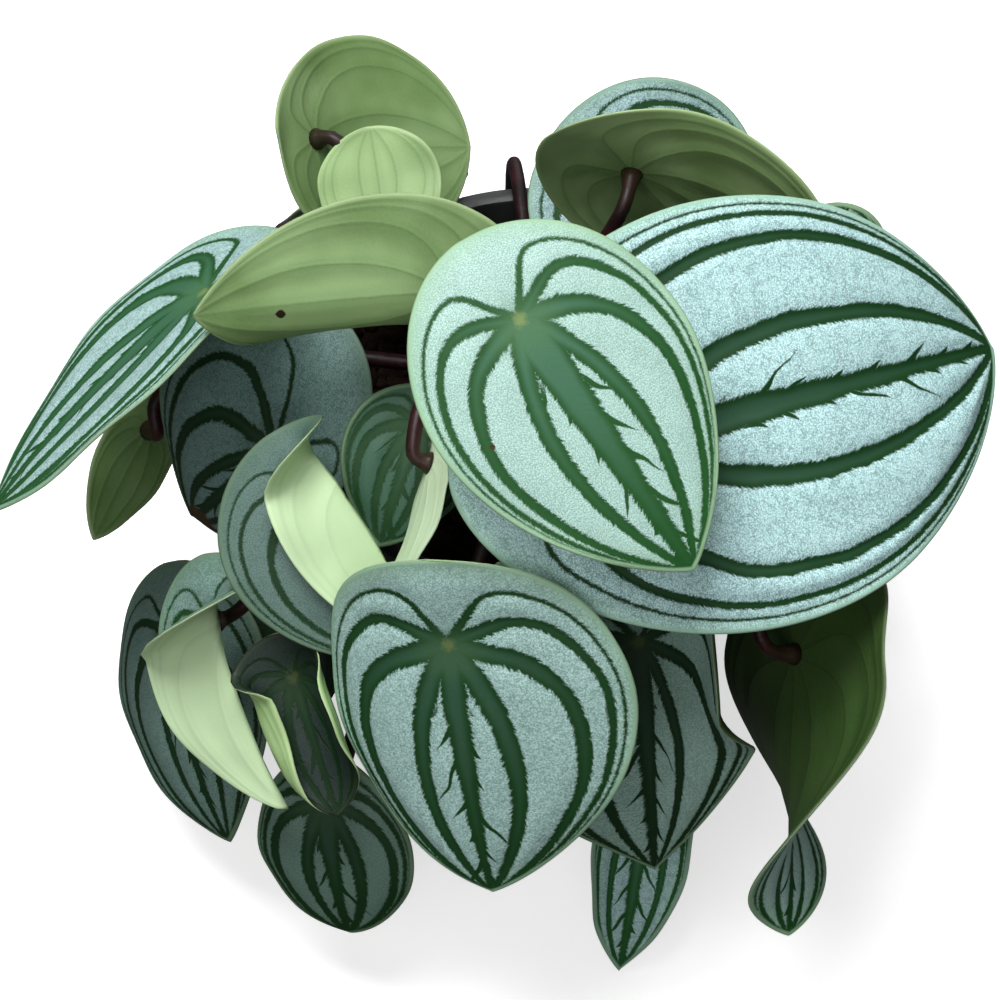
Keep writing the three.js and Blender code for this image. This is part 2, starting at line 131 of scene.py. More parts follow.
# "at" is the point over the stalk, "face" the compass angle and height of the direction that the
# upper side looks in, "roll" turns the tip from straight downhill, "wide" is width over length,
# "hub" the stalk's place along it, "bend", "cup", "twist", "blunt" and "fold" shape the blade, and
# "via", "arch" and "rise" lead its stalk.
LEAVES = [
    {"name": "leaf_centre", "at": [-6, -48, 188], "face": [-85, 62], "roll": 31,
     "length": 83, "wide": 0.7, "bend": [-12, -12], "cup": [-8, -8],
     "via": [[-22, -22, 135], [-27, -34, 166]]},
    {"name": "leaf_right", "at": [12, -58, 157], "face": [-74, 57], "roll": 92,
     "length": 135, "wide": 0.69, "bend": [-30, -5], "cup": [-6, -6], "blunt": 0.16},
    {"name": "leaf_front", "at": [-21, -89, 130], "face": [-104, 31], "roll": 14,
     "length": 88, "wide": 0.82, "bend": [-16, 26], "cup": [-6, -45], "uneven": -0.08},
    {"name": "leaf_front_right", "at": [21, -72, 104], "face": [-83, 30], "roll": 2,
     "length": 96, "hub": 0.3, "wide": 0.8, "uneven": 0.22, "bend": [-16, -10], "cup": [150, 0],
     "blunt": -0.2,
     "fold": [-1, 0.2, -100, 0.6, 0.45]},
    {"name": "leaf_low_right", "at": [25, -79, 54], "face": [-85, 30], "roll": -8,
     "length": 76, "wide": 0.36, "bend": [-10, -10], "cup": [60, 50],
     "via": [[16, -36, 112], [22, -61, 110], [22, -61, 86]]},
    {"name": "leaf_low_front", "at": [-50, -90, 63], "face": [-110, 30], "roll": 14,
     "length": 52, "wide": 0.74, "blunt": 0.2, "bend": [-20, -10], "cup": [-15, -10]},
    {"name": "leaf_low_left", "at": [-89, -42, 60], "face": [-154, 32], "roll": 60,
     "length": 70, "wide": 0.85, "bend": [-20, -10], "cup": [-20, -10],
     "via": [[-36, -12, 110], [-61, -22, 110], [-66, -28, 88]]},
    {"name": "leaf_left_turned", "at": [-74, -65, 101], "face": [-125, 40], "roll": 42,
     "length": 62, "wide": 0.62, "uneven": -0.15, "bend": [-15, -20], "cup": [0, 10],
     "fold": [-1, 0, 170, 0.2, 0.1], "arch": 10},
    {"name": "leaf_rolled", "at": [-56, -77, 97], "face": [-106, 42], "roll": 30,
     "length": 44, "wide": 0.84, "bend": [10, 20], "cup": [110, 40],
     "fold": [1, 0.5, 140, 0.25, 0.1]},
    {"name": "leaf_folded", "at": [-52, -50, 131], "face": [-99, 52], "roll": 40,
     "length": 60, "wide": 0.88, "uneven": -0.03, "bend": [-10, 0], "cup": [0, 10],
     "fold": [-1, 0.215, 165, 0.17, -0.05],
     "via": [[-18, -22, 114], [-36, -40, 115], [-45, -47, 118]]},
    {"name": "leaf_left_inner", "at": [-66, -23, 121], "face": [-137, 46], "roll": -14,
     "length": 70, "hub": 0.45, "wide": 0.8, "bend": [-44, -16], "cup": [-5, 10]},
    {"name": "leaf_left_long", "at": [-76, -7, 146], "face": [152, 47], "roll": 55,
     "length": 92, "wide": 0.7, "bend": [-10, -10], "cup": [8, 10],
     "via": [[-36, 18, 120], [-58, 20, 139]]},
    {"name": "leaf_left_under", "at": [-95, 1, 84], "face": [115, -39], "roll": 47,
     "length": 40, "wide": 0.48, "bend": [-10, -10], "cup": [10, 10],
     "via": [[-36, 2, 110], [-70, 4, 110], [-92, 0, 98]]},
    {"name": "leaf_back_flipped", "at": [-21, -26, 170], "face": [82, -40], "roll": 80,
     "length": 73, "wide": 0.6, "bend": [-20, -10], "cup": [10, 150],
     "rise": 6,
     "via": [[2, -14, 140], [4, -27, 162], [-2, -32, 169]]},
    {"name": "leaf_back_small", "at": [-36, 9, 149], "face": [70, -60], "roll": 155,
     "length": 32, "wide": 0.9, "blunt": 0.3, "bend": [-10, -10], "cup": [10, 10],
     "via": [[-20, 2, 130], [-26, -6, 150]]},
    {"name": "leaf_back_left", "at": [-52, 31, 155], "face": [155, -39], "roll": -42,
     "length": 56, "wide": 0.94, "bend": [-24, -20], "cup": [10, 10], "blunt": 0.25,
     "rise": 6},
    {"name": "leaf_back_right_turned", "at": [20, 22, 154], "face": [79, 9], "roll": -62,
     "length": 90, "wide": 0.6, "bend": [-40, -8], "cup": [-20, 20]},
    {"name": "leaf_back_right", "at": [16, 44, 131], "face": [-98, 46], "roll": 56,
     "length": 63, "wide": 0.92, "bend": [10, -10], "cup": [10, 40],
     "via": [[8, 36, 108]]},
    {"name": "leaf_right_hanging", "at": [57, -68, 92], "face": [17, -30], "roll": -49,
     "length": 92, "hub": 0.3, "wide": 0.8, "uneven": 0.02, "bend": [10, 0], "cup": [25, -15],
     "twist": [-100, 30]},
    {"name": "leaf_young_ridged", "at": [-28, -34, 133], "face": [-95, 62], "roll": -14,
     "length": 38, "wide": 0.8, "bend": [-10, -10], "cup": [10, 10]},
    {"name": "leaf_young_pale", "at": [-25, -50, 141], "face": [-3, -24], "roll": -53,
     "length": 44, "wide": 0.46, "bend": [0, 0], "cup": [30, 30], "rise": 4,
     "via": [[-8, -24, 126], [-26, -36, 147]]},
    {"name": "leaf_rear_high", "at": [-40, 58, 108], "face": [108, 35], "roll": 0,
     "length": 66, "wide": 0.74, "bend": [-20, -10], "cup": [-8, -8]},
    {"name": "leaf_rear_high_right", "at": [36, 62, 106], "face": [65, 35], "roll": 0,
     "length": 66, "wide": 0.76, "bend": [-20, -10], "cup": [-8, -8], "arch": 5},
    {"name": "leaf_rear_left", "at": [-62, 58, 74], "face": [130, 22], "roll": 0,
     "length": 60, "wide": 0.76, "bend": [-20, -10], "cup": [-8, -8]},
    {"name": "leaf_rear_right", "at": [68, 50, 78], "face": [38, 25], "roll": 0,
     "length": 62, "wide": 0.78, "bend": [-20, -10], "cup": [-8, -8], "arch": 5},
    {"name": "leaf_rear_middle", "at": [-8, 80, 66], "face": [96, 18], "roll": 0,
     "length": 60, "wide": 0.76, "bend": [-16, -10], "cup": [-8, -8], "arch": 5},
    {"name": "leaf_rear_low_right", "at": [34, 80, 46], "face": [68, 12], "roll": 0,
     "length": 52, "wide": 0.76, "bend": [-10, -10], "cup": [-8, -8]},
    {"name": "leaf_rear_low_left", "at": [-42, 76, 40], "face": [118, 14], "roll": 0,
     "length": 50, "wide": 0.74, "bend": [-10, -10], "cup": [-8, -8], "arch": 5},
    {"name": "leaf_right_side", "at": [79, 2, 90], "face": [0, 32], "roll": 0,
     "length": 50, "wide": 0.76, "bend": [-16, -10], "cup": [-8, -8], "arch": 8},
    {"name": "leaf_right_low", "at": [78, 32, 54], "face": [24, 14], "roll": 0,
     "length": 54, "wide": 0.74, "bend": [-10, -10], "cup": [-8, -8], "arch": 2},
    {"name": "leaf_left_side", "at": [-82, 30, 80], "face": [162, 25], "roll": 0,
     "length": 56, "wide": 0.74, "bend": [-16, -10], "cup": [-8, -8]},
    {"name": "leaf_left_low", "at": [-78, 46, 42], "face": [145, 14], "roll": 0,
     "length": 48, "wide": 0.74, "bend": [-10, -10], "cup": [-8, -8]},
    {"name": "leaf_right_tip", "at": [71, 25, 106], "face": [-90, 40], "roll": 180,
     "length": 30, "wide": 0.8, "blunt": 0.35, "bend": [-10, -10], "cup": [10, 10],
     "via": [[30, 22, 110], [62, 38, 110]]},
    {"name": "leaf_left_deep", "at": [-60, -50, 78], "face": [-128, 40], "roll": 0,
     "length": 46, "wide": 0.8, "bend": [-10, -10], "cup": [-8, -8],
     "via": [[-33, -27, 117], [-49.5, -40.5, 107], [-52, -42, 92]]},
]

# How each leaf looks. "blue" leads from green silver to blue silver, "bright" scales the silver and
# paints the leaf's light and shade, low on leaves that sit in shade and high on lit ones, "stripe" the
# stripes' width, "deep" darkens the stripes, partly as painted shade on shaded leaves, "silver" is how
# silver the pale zones are, "under" the brightness of the underside, painted shade where it is low and
# a painted glow of light through the blade above 1, "relief" the height of the swelling between veins,
# "rib" the midrib's width, "aside" how far the stripes' meeting point lies beside the stalk, and
# "mark" the place from the hub (across, along) and radius of a brown mark.
USUAL_LOOK = {"blue": 0.5, "bright": 0.9, "stripe": 1.0, "deep": 0.5, "silver": 1.0, "under": 0.9,
              "relief": 0.5, "rib": 1.0, "aside": 0, "mark": (0, 0, -9)}
LOOKS = {
    "leaf_centre": {"blue": 0.25, "bright": 1.14, "deep": 0.1, "relief": 0.4, "rib": 1.45,
                    "mark": (19.5, 18, 0.55)},
    "leaf_right": {"blue": 0.8, "bright": 1.5, "stripe": 0.92, "deep": 0.6, "relief": 1.3},
    "leaf_front": {"blue": 0.45, "bright": 1.12, "stripe": 1.15, "deep": 0.55, "relief": 0.7, "rib": 0.8},
    "leaf_front_right": {"blue": 0.25, "bright": 0.8, "stripe": 0.85, "deep": 0.95, "under": 0.16},
    "leaf_low_right": {"blue": 0.7, "bright": 1.2, "stripe": 0.9, "deep": 0.0},
    "leaf_low_front": {"blue": 0.1, "bright": 0.46, "stripe": 1.2, "deep": 0.85},
    "leaf_low_left": {"blue": 0.35, "bright": 0.5, "stripe": 0.85, "deep": 0.92},
    "leaf_left_turned": {"blue": 0.3, "bright": 0.6, "stripe": 0.7, "under": 1.4, "mark": (7.5, 21, 0.5)},
    # Painted shade: this leaf's upper side is made almost black, for the shade it lies in.
    "leaf_rolled": {"blue": 0.2, "bright": 0.08, "stripe": 0.7, "deep": 0.96, "under": 1.1},
    "leaf_folded": {"blue": 0.4, "bright": 0.42, "stripe": 0.6, "deep": 0.85, "under": 1.4},
    "leaf_left_inner": {"blue": 0.7, "bright": 0.48, "stripe": 0.9, "deep": 0.97, "aside": -10,
                        "mark": (-2, 36, 6)},
    "leaf_left_long": {"blue": 0.6, "bright": 1.15, "stripe": 1.4, "deep": 0.05},
    "leaf_left_under": {"under": 0.5, "relief": 0.25},
    # Painted shade: almost black, for a leaf that lies deep in the shade under the others.
    "leaf_left_deep": {"blue": 0.3, "bright": 0.08, "deep": 0.97},
    "leaf_back_flipped": {"blue": 0.3, "under": 0.8, "relief": 0.5, "mark": (2, 36, 1)},
    "leaf_back_small": {"under": 1.12, "relief": 0.3},
    "leaf_back_left": {"blue": 0.6, "under": 0.8, "relief": 0.4},
    "leaf_back_right_turned": {"blue": 0.5, "under": 1.05, "relief": 0.8},
    "leaf_back_right": {"blue": 0.8, "bright": 1.0, "deep": 0.5},
    "leaf_right_hanging": {"blue": 0.3, "bright": 1.2, "stripe": 0.7, "deep": 0.2, "under": 0.3},
    "leaf_young_ridged": {"blue": 0.1, "bright": 0.45, "silver": 0.15, "deep": 0.7, "relief": 1.3},
    "leaf_young_pale": {"under": 1.7, "relief": 0.2},
    "leaf_right_tip": {"blue": 0.1, "bright": 1.0},
}


# --- the leaf model, the same as the solids' ---

def outline(s, blunt):
    """Half width at a share s of the leaf's length, 1 where the leaf is widest."""
    shape = lambda v: v ** (0.5 + 0.4 * blunt) * (1 - v) ** (0.85 - blunt) * (1 + 0.3 * v)
    return shape(np.clip(s, 0, 1)) / shape(np.arange(0.01, 1, 0.01)).max()


def arc(k, u):
    """Along and up of an arc of curvature k after a length u."""
    k = np.where(np.abs(k) < 1e-6, 1e-6, k)
    return np.sin(k * u) / k, (1 - np.cos(k * u)) / k


def leaf_axes(leaf):
    """Directions at the hub: to the tip, across to the right, and out of the upper side."""
    azimuth, height = np.radians(leaf["face"])
    out = np.array([np.cos(height) * np.cos(azimuth), np.cos(height) * np.sin(azimuth), np.sin(height)])
    down = np.array([np.sin(height) * np.cos(azimuth), np.sin(height) * np.sin(azimuth), -np.cos(height)])
    roll = math.radians(leaf["roll"])
    tip = math.cos(roll) * down + math.sin(roll) * np.cross(out, down)
    return tip, np.cross(tip, out), out


def cross_section(leaf, x, half, along):
    """How far across and up a point at x from the midrib lies."""
    half_most = leaf["length"] * leaf["wide"] / 2
    q = np.abs(x)
    k = np.radians(np.where(x < 0, leaf["cup"][0], leaf["cup"][1])) / half_most
    across, up = arc(k, q)
    if "fold" not in leaf:
        return across, up
    side, place, angle, width, start = leaf["fold"]
    fold_from = place * half
    fold_width = width * half_most
    full = np.clip((along - start) / FOLD_RUN + 1, 0, 1)
    k_fold = k + math.radians(angle) * full * full * (3 - 2 * full) / fold_width
    stretches = ((k, np.minimum(q, fold_from)), (k_fold, np.clip(q - fold_from, 0, fold_width)),
                 (k, np.maximum(q - fold_from - fold_width, 0)))
    folded_across, folded_up, turn = 0, 0, 0
    for curve, run in stretches:
        a, u = arc(curve, run)
        folded_across = folded_across + a * np.cos(turn) - u * np.sin(turn)
        folded_up = folded_up + a * np.sin(turn) + u * np.cos(turn)
        turn = turn + curve * run
    here = x * side > 0
    return np.where(here, folded_across, across), np.where(here, folded_up, up)


def blade_point(leaf, s, t):
    """Points of the blade's middle surface: s from base end to tip, t from left to right edge."""
    tip, across, out = leaf_axes(leaf)
    length, hub = leaf["length"], leaf.get("hub", HUB)
    tip_run, base_run = (1 - hub) * length, hub * length
    y = (s - hub) * length
    half = length * leaf["wide"] / 2 * outline(s, leaf.get("blunt", 0))
    k_tip = math.radians(leaf["bend"][0]) / tip_run
    k_base = math.radians(leaf["bend"][1]) / base_run
    ahead, behind = np.maximum(y, 0), np.maximum(-y, 0)
    along_tip, up_tip = arc(k_tip, ahead)
    along_base, up_base = arc(k_base, behind)
    lean = (k_tip * ahead - k_base * behind)[..., None]
    leaned = np.cos(lean) * out - np.sin(lean) * tip
    twist = leaf.get("twist", [0, 0])
    turn = np.radians(twist[0] * (ahead / tip_run) ** 2 + twist[1] * (behind / base_run) ** 2)[..., None]
    over = np.cos(turn) * across + np.sin(turn) * leaned
    normal = np.cos(turn) * leaned - np.sin(turn) * across
    stretch = 1 + np.sign(t) * leaf.get("uneven", 0)
    sideways, up = cross_section(leaf, t * half * stretch, half, y / tip_run)
    return (np.array(leaf["at"], float) + (along_tip - along_base)[..., None] * tip
            + (up_tip + up_base)[..., None] * out
            + (np.sign(t) * sideways)[..., None] * over + up[..., None] * normal)


def blade_normal(leaf, s, t):
    """Unit normals of the upper side, from the surface a short step away on each side."""
    step = 0.004
    s0, s1 = np.clip(s - step, step, 1 - 3 * step), np.clip(s + step, 3 * step, 1 - step)
    t0, t1 = np.clip(t - step, -1, 1), np.clip(t + step, -1, 1)
    middle = (s0 + s1) / 2
    along = blade_point(leaf, s1, t) - blade_point(leaf, s0, t)
    over = blade_point(leaf, middle, t1) - blade_point(leaf, middle, t0)
    normal = np.cross(over, along)
    return normal / np.linalg.norm(normal, axis=-1, keepdims=True)


# --- the pattern of a blade, in its own flat coordinates ---

def margin(leaf):
    """One half of the outline, hub at 0: x to the side and y to the tip, from tip to base end."""
    s = 0.5 + 0.5 * np.cos(np.pi * np.linspace(0, 1, 400))
    x = leaf["length"] * leaf["wide"] / 2 * outline(s, leaf.get("blunt", 0))
    return x, (s - leaf.get("hub", HUB)) * leaf["length"]


def from_centre(x, y, aside):
    """Flat coordinates from the point where the stripes meet, which may lie beside the stalk."""
    return x - aside * np.exp(-(y / 30) ** 2), y


def margin_share(leaf, x, y, aside):
    """Distance from the stripes' meeting point as a share of the way to the margin, that way."""
    half_x, half_y = margin(leaf)
    edge_x, edge_y = from_centre(np.append(half_x, -half_x[::-1]), np.append(half_y, half_y[::-1]), aside)
    angle, reach = np.arctan2(edge_x, edge_y), np.hypot(edge_x, edge_y)
    x, y = from_centre(x, y, aside)
    return np.clip(np.hypot(x, y) / np.interp(np.arctan2(x, y), angle, reach, period=2 * np.pi), 0, 1)


def margin_distance(leaf, x, y):
    """Distance in millimetres to the nearest point of the margin."""
    edge = np.stack(margin(leaf), -1)
    start, run = edge[:-1], np.diff(edge, axis=0)
    point = np.stack([np.abs(x), y], -1).reshape(-1, 1, 2)
    share = ((point - start) * run).sum(-1) / np.maximum((run * run).sum(-1), 1e-12)
    near = start + np.clip(share, 0, 1)[..., None] * run
    return np.linalg.norm(point - near, axis=-1).min(-1).reshape(x.shape)


def vein_distance(x, y, rho):
    """Distance in millimetres to the nearest main vein."""
    phi = np.arctan2(np.abs(x), y)
    away = np.hypot(x, y)
    distances = []
    for angle, power, _, _, _ in STRIPES:
        start = math.radians(angle)
        turned_in = start * power * rho ** power
        distances.append(np.abs(phi - start * (1 - rho ** power)) * away / np.sqrt(1 + turned_in ** 2))
    return np.min(distances, axis=0)


# --- meshes ---

def make_object(name, points, faces, materials):
    """A smooth piece on the root body, from points in millimetres."""
    mesh = bpy.data.meshes.new(name)
    mesh.from_pydata([tuple(p) for p in np.asarray(points) * MM], [], faces)
    for material in materials:
        mesh.materials.append(material)
    mesh.shade_smooth()
    piece = bpy.data.objects.new(name, mesh)
    bpy.context.collection.objects.link(piece)
    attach(piece, "root")
    return piece


def add_values(mesh, name, values):
    """Keeps one number or vector a vertex, for the material to read."""
    values = np.asarray(values, float)
    kind, key = ("FLOAT", "value") if values.ndim == 1 else ("FLOAT_VECTOR", "vector")
    mesh.attributes.new(name, kind, "POINT").data.foreach_set(key, values.ravel())


def make_blade(leaf, number, materials):
    """One leaf blade, closed all round, with what its materials read kept on its points."""
    look = {**USUAL_LOOK, **LOOKS.get(leaf["name"], {})}
    hub = leaf.get("hub", HUB)
    rows_base = max(BLADE_ROWS_LEAST, int(BLADE_ROWS * leaf["length"] / USUAL_LENGTH))
    rows_tip = 2 * rows_base
    columns = 2 * rows_base
    ease_in = 1 - np.cos(np.pi / 2 * np.arange(rows_base + 1) / rows_base)
    ease_out = np.sin(np.pi / 2 * np.arange(1, rows_tip + 1) / rows_tip)
    along = np.concatenate([hub * ease_in, hub + (1 - hub) * ease_out])
    sideways = np.sin(np.pi / 2 * np.linspace(-1, 1, columns + 1))
    s, t = np.meshgrid(along, sideways, indexing="ij")
    x = t * leaf["length"] * leaf["wide"] / 2 * outline(s, leaf.get("blunt", 0))
    y = (s - hub) * leaf["length"]
    rho = margin_share(leaf, x, y, look["aside"])
    rim = margin_distance(leaf, x, y)
    x, y = from_centre(x, y, look["aside"])
    normal = blade_normal(leaf, s, t)
    away = np.hypot(x, y)
    swell = 1 - np.exp(-(vein_distance(x, y, rho) / VEIN_GROOVE) ** 2)
    inner = np.clip(rim / 6, 0, 1) * np.clip(away / 9, 0, 1)
    dimple = HUB_DIMPLE * (1 - np.exp(-(away / 6) ** 2)) * np.clip(rim / 10, 0, 1)
    near_rim = np.clip(1 - rim / WAVE_REACH, 0, 1)
    wave = RIM_WAVE * np.sin(s * WAVE_TURNS + number * 2.1 + t) * near_rim ** 2
    lift = look["relief"] * swell * inner + dimple + wave
    middle = blade_point(leaf, s, t) + lift[..., None] * normal
    bulge = np.clip(rim / EDGE_ROUND, 0, 1)
    half = (BLADE_THICKNESS / 2 * np.sqrt(bulge * (2 - bulge)))[..., None] * normal

    last_row, last_column = len(along) - 1, columns
    points, flat = [], []
    upper = np.zeros(s.shape, int)
    lower = np.zeros(s.shape, int)
    for i in range(last_row + 1):
        for j in range(last_column + 1):
            at_end = i in (0, last_row)
            if at_end and j:
                upper[i, j] = lower[i, j] = upper[i, 0]
                continue
            upper[i, j] = lower[i, j] = len(points)
            points.append(middle[i, j] + half[i, j])
            flat.append((x[i, j], y[i, j], rho[i, j], rim[i, j]))
            if not at_end and 0 < j < last_column:
                lower[i, j] = len(points)
                points.append(middle[i, j] - half[i, j])
                flat.append(flat[-1])
    faces, sides = [], []
    for i in range(last_row):
        for j in range(last_column):
            for index, (grid, flip) in enumerate(((upper, False), (lower, True))):
                ring = [grid[i, j], grid[i, j + 1], grid[i + 1, j + 1], grid[i + 1, j]]
                ring = [int(v) for k, v in enumerate(ring) if v != ring[k - 1]]
                faces.append(ring[::-1] if flip else ring)
                sides.append(index)
    piece = make_object(leaf["name"].replace("leaf", "blade"), points, faces, materials)
    piece.data.polygons.foreach_set("material_index", sides)
    flat = np.array(flat)
    count = len(points)
    width = look["stripe"] * (leaf["length"] / USUAL_LENGTH) ** 0.6
    seeds = np.full(count, 31.7 * number)
    add_values(piece.data, "leaf_place", np.column_stack([flat[:, 0], flat[:, 1], seeds]))
    add_values(piece.data, "leaf_margin", np.column_stack([flat[:, 2], flat[:, 3], np.full(count, width)]))
    add_values(piece.data, "leaf_tone_and_shade", np.tile([look["blue"], look["bright"], look["deep"]], (count, 1)))
    add_values(piece.data, "leaf_kind_and_light", np.tile([look["silver"], look["under"], look["rib"]], (count, 1)))
    add_values(piece.data, "leaf_mark", np.tile(look["mark"], (count, 1)))
    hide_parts(leaf["name"])
    return piece


def smooth_curve(points, steps):
    """Centripetal Catmull-Rom curve through the points."""
    points = [np.array(p, float) for p in points]
    points = [2 * points[0] - points[1], *points, 2 * points[-1] - points[-2]]
    result = []
    for p0, p1, p2, p3 in zip(points, points[1:], points[2:], points[3:]):
        d0, d1, d2 = (max(np.linalg.norm(b - a) ** 0.5, 1e-4) for a, b in ((p0, p1), (p1, p2), (p2, p3)))
        m1 = ((p1 - p0) / d0 - (p2 - p0) / (d0 + d1) + (p2 - p1) / d1) * d1
        m2 = ((p2 - p1) / d1 - (p3 - p1) / (d1 + d2) + (p3 - p2) / d2) * d1
        for u in np.arange(steps) / steps:
            result.append((2 * u ** 3 - 3 * u ** 2 + 1) * p1 + (u ** 3 - 2 * u ** 2 + u) * m1
                          + (3 * u ** 2 - 2 * u ** 3) * p2 + (u ** 3 - u ** 2) * m2)
    return result + [points[-2]]


def stalk_path(leaf):
    """The middle line of a stalk, from the crown to the underside of its blade."""
    _, _, out = leaf_axes(leaf)
    hub = np.array(leaf["at"], float)
    reach = math.hypot(hub[0], hub[1])
    place = lambda radius, height: [hub[0] / reach * radius, hub[1] / reach * radius, height]
    before = hub - out * (BLADE_THICKNESS / 2 + CLEARANCE + leaf.get("rise", STALK_RISE))
    points = [place(radius, SOIL_TOP + up) for radius, up in (STALK_ROOT, STALK_NECK)]
    if "via" in leaf:
        points += leaf["via"]
    elif hub[2] < HANGING_BELOW:
        arch = leaf.get("arch", STALK_ARCH)
        points.append(place(RIM_RADIUS / 2, POT_HEIGHT + arch))
        points.append(place(RIM_RADIUS + BESIDE_RIM[0], POT_HEIGHT + BESIDE_RIM[1] + arch / 3))
    else:
        climb = hub[2] - SOIL_TOP
        points.append(place(STALK_SPREAD[0] * reach, SOIL_TOP + STALK_SPREAD[1] * climb))
    path = smooth_curve([*points, before], STALK_STEPS)
    path += [before + (hub - before) * share for share in (0.25, 0.5, 0.75)]
    path = np.array(path)
    for _ in range(3):
        path[1:-1] += 0.5 * ((path[:-2] + path[2:]) / 2 - path[1:-1])
    return np.vstack([path, hub - out * BLADE_THICKNESS / 2])


def add_tube(points, faces, path, radii, sides):
    """Adds a closed round tube along the path."""
    first = len(points)
    tangents = np.gradient(path, axis=0)
    tangents /= np.linalg.norm(tangents, axis=1, keepdims=True)
    over = np.cross(tangents[0], [0.3, 0.5, 0.81])
    for centre, tangent, radius in zip(path, tangents, radii):
        over = over - tangent * np.dot(over, tangent)
        over /= np.linalg.norm(over)
        side = np.cross(tangent, over)
        for k in range(sides):
            angle = 2 * math.pi * k / sides
            points.append(centre + radius * (math.cos(angle) * over + math.sin(angle) * side))
    for i in range(len(path) - 1):
        for k in range(sides):
            a, b = first + i * sides + k, first + i * sides + (k + 1) % sides
            faces.append((a, b, b + sides, a + sides))
    faces.append(tuple(range(first + sides - 1, first - 1, -1)))
    faces.append(tuple(range(first + (len(path) - 1) * sides, first + len(path) * sides)))


def turned(profile, sides, relief=None):
    """Points and faces of a lathe about +Z whose profile starts and ends on the axis."""
    points, faces = [], []
    rings = []
    for r, z in profile:
        if r == 0:
            rings.append([len(points)] * sides)
            points.append((0, 0, z))
            continue
        rings.append(list(range(len(points), len(points) + sides)))
        for k in range(sides):
            angle = 2 * math.pi * k / sides
            x, y = r * math.cos(angle), r * math.sin(angle)
            points.append((x, y, z + (relief(x, y, z) if relief else 0)))
    for low, high in zip(rings, rings[1:]):
        for k in range(sides):
            ring = [low[k], low[(k + 1) % sides], high[(k + 1) % sides], high[k]]
            ring = [v for n, v in enumerate(ring) if v != ring[n - 1]]
            faces.append(ring)
    return points, faces


def make_crown(material):
    """The short stem with all the stalks."""
    points, faces = turned([
        [0, SOIL_TOP - CROWN_DEPTH + CLEARANCE],
        [CROWN_RADIUS, SOIL_TOP - CROWN_DEPTH + CLEARANCE],
        [CROWN_RADIUS, SOIL_TOP + 2],
        *[[out * CROWN_RADIUS, SOIL_TOP + up * CROWN_HEIGHT] for out, up in CROWN_DOME],
        [0, SOIL_TOP + CROWN_HEIGHT],
    ], CROWN_SIDES)
    along = [0.0] * len(points)
    for leaf in LEAVES:
        path = stalk_path(leaf)
        share = np.linspace(0, 1, len(path))
        radii = STALK_FOOT_RADIUS + (STALK_RADIUS - STALK_FOOT_RADIUS) * share
        radii[0] *= 0.9
        radii[-2] = 0.6 * STALK_RADIUS + 0.4 * STALK_FLARE
        radii[-1] = STALK_FLARE
        add_tube(points, faces, path, radii, STALK_SIDES)
        along += list(np.repeat(share, STALK_SIDES))
    piece = make_object("stalks", points, faces, [material])
    add_values(piece.data, "stalk_share", along)
    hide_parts("crown")


def wall_radius(z):
    """The pot's outer radius at a height."""
    return POT_BASE_RADIUS + (POT_TOP_RADIUS - POT_BASE_RADIUS) * z / POT_HEIGHT


def make_pot(material):
    rim_foot = POT_HEIGHT - RIM_DEPTH
    profile = [
        [0, 0],
        [POT_BASE_RADIUS - BASE_CHAMFER, 0],
        [POT_BASE_RADIUS - BASE_EASE, BASE_EASE],
        [wall_radius(BASE_CHAMFER), BASE_CHAMFER],
        *[[wall_radius(z), z] for z in WALL_STEPS],
        [wall_radius(rim_foot), rim_foot],
        [RIM_RADIUS - RIM_ROUND, rim_foot],
        [RIM_RADIUS - CORNER_SHARE * RIM_ROUND, rim_foot + CORNER_SHARE * RIM_ROUND],
        [RIM_RADIUS, rim_foot + RIM_ROUND],
        [RIM_RADIUS, POT_HEIGHT - RIM_ROUND],
        [RIM_RADIUS - CORNER_SHARE * RIM_ROUND, POT_HEIGHT - CORNER_SHARE * RIM_ROUND],
        [RIM_RADIUS - RIM_ROUND, POT_HEIGHT],
        [POT_TOP_RADIUS - POT_WALL + RIM_ROUND, POT_HEIGHT],
        [POT_TOP_RADIUS - POT_WALL + CORNER_SHARE * RIM_ROUND, POT_HEIGHT - CORNER_SHARE * RIM_ROUND],
        [POT_TOP_RADIUS - POT_WALL, POT_HEIGHT - RIM_ROUND],
        [wall_radius(POT_FLOOR) - POT_WALL, POT_FLOOR],
        [0, POT_FLOOR],
    ]
    points, faces = turned(profile, ROUND_SIDES)
    pot = make_object("pot_body", points, faces, [material])
    cutter_mesh = bpy.data.meshes.new("drain")
    cutter_form = bmesh.new()
    for i in range(DRAIN_COUNT):
        angle = i * 2 * math.pi / DRAIN_COUNT
        where = Matrix.Translation(Vector((math.cos(angle), math.sin(angle), 0)) * DRAIN_CIRCLE * MM)
        bmesh.ops.create_cone(cutter_form, cap_ends=True, segments=DRAIN_SIDES,
                              radius1=DRAIN_RADIUS * MM, radius2=DRAIN_RADIUS * MM,
                              depth=4 * POT_FLOOR * MM, matrix=where)
    cutter_form.to_mesh(cutter_mesh)
    cutter_form.free()
    cutter = bpy.data.objects.new("drain", cutter_mesh)
    bpy.context.collection.objects.link(cutter)
    cut = pot.modifiers.new("drain", "BOOLEAN")
    cut.operation, cut.object, cut.solver = "DIFFERENCE", cutter, "EXACT"
    bpy.context.view_layer.update()
    holed = bpy.data.meshes.new_from_object(pot.evaluated_get(bpy.context.evaluated_depsgraph_get()))
    pot.modifiers.clear()
    pot.data = holed
    bpy.data.objects.remove(cutter)
    pot.data.set_sharp_from_angle(angle=math.radians(SHARP_FROM))
    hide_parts("pot")


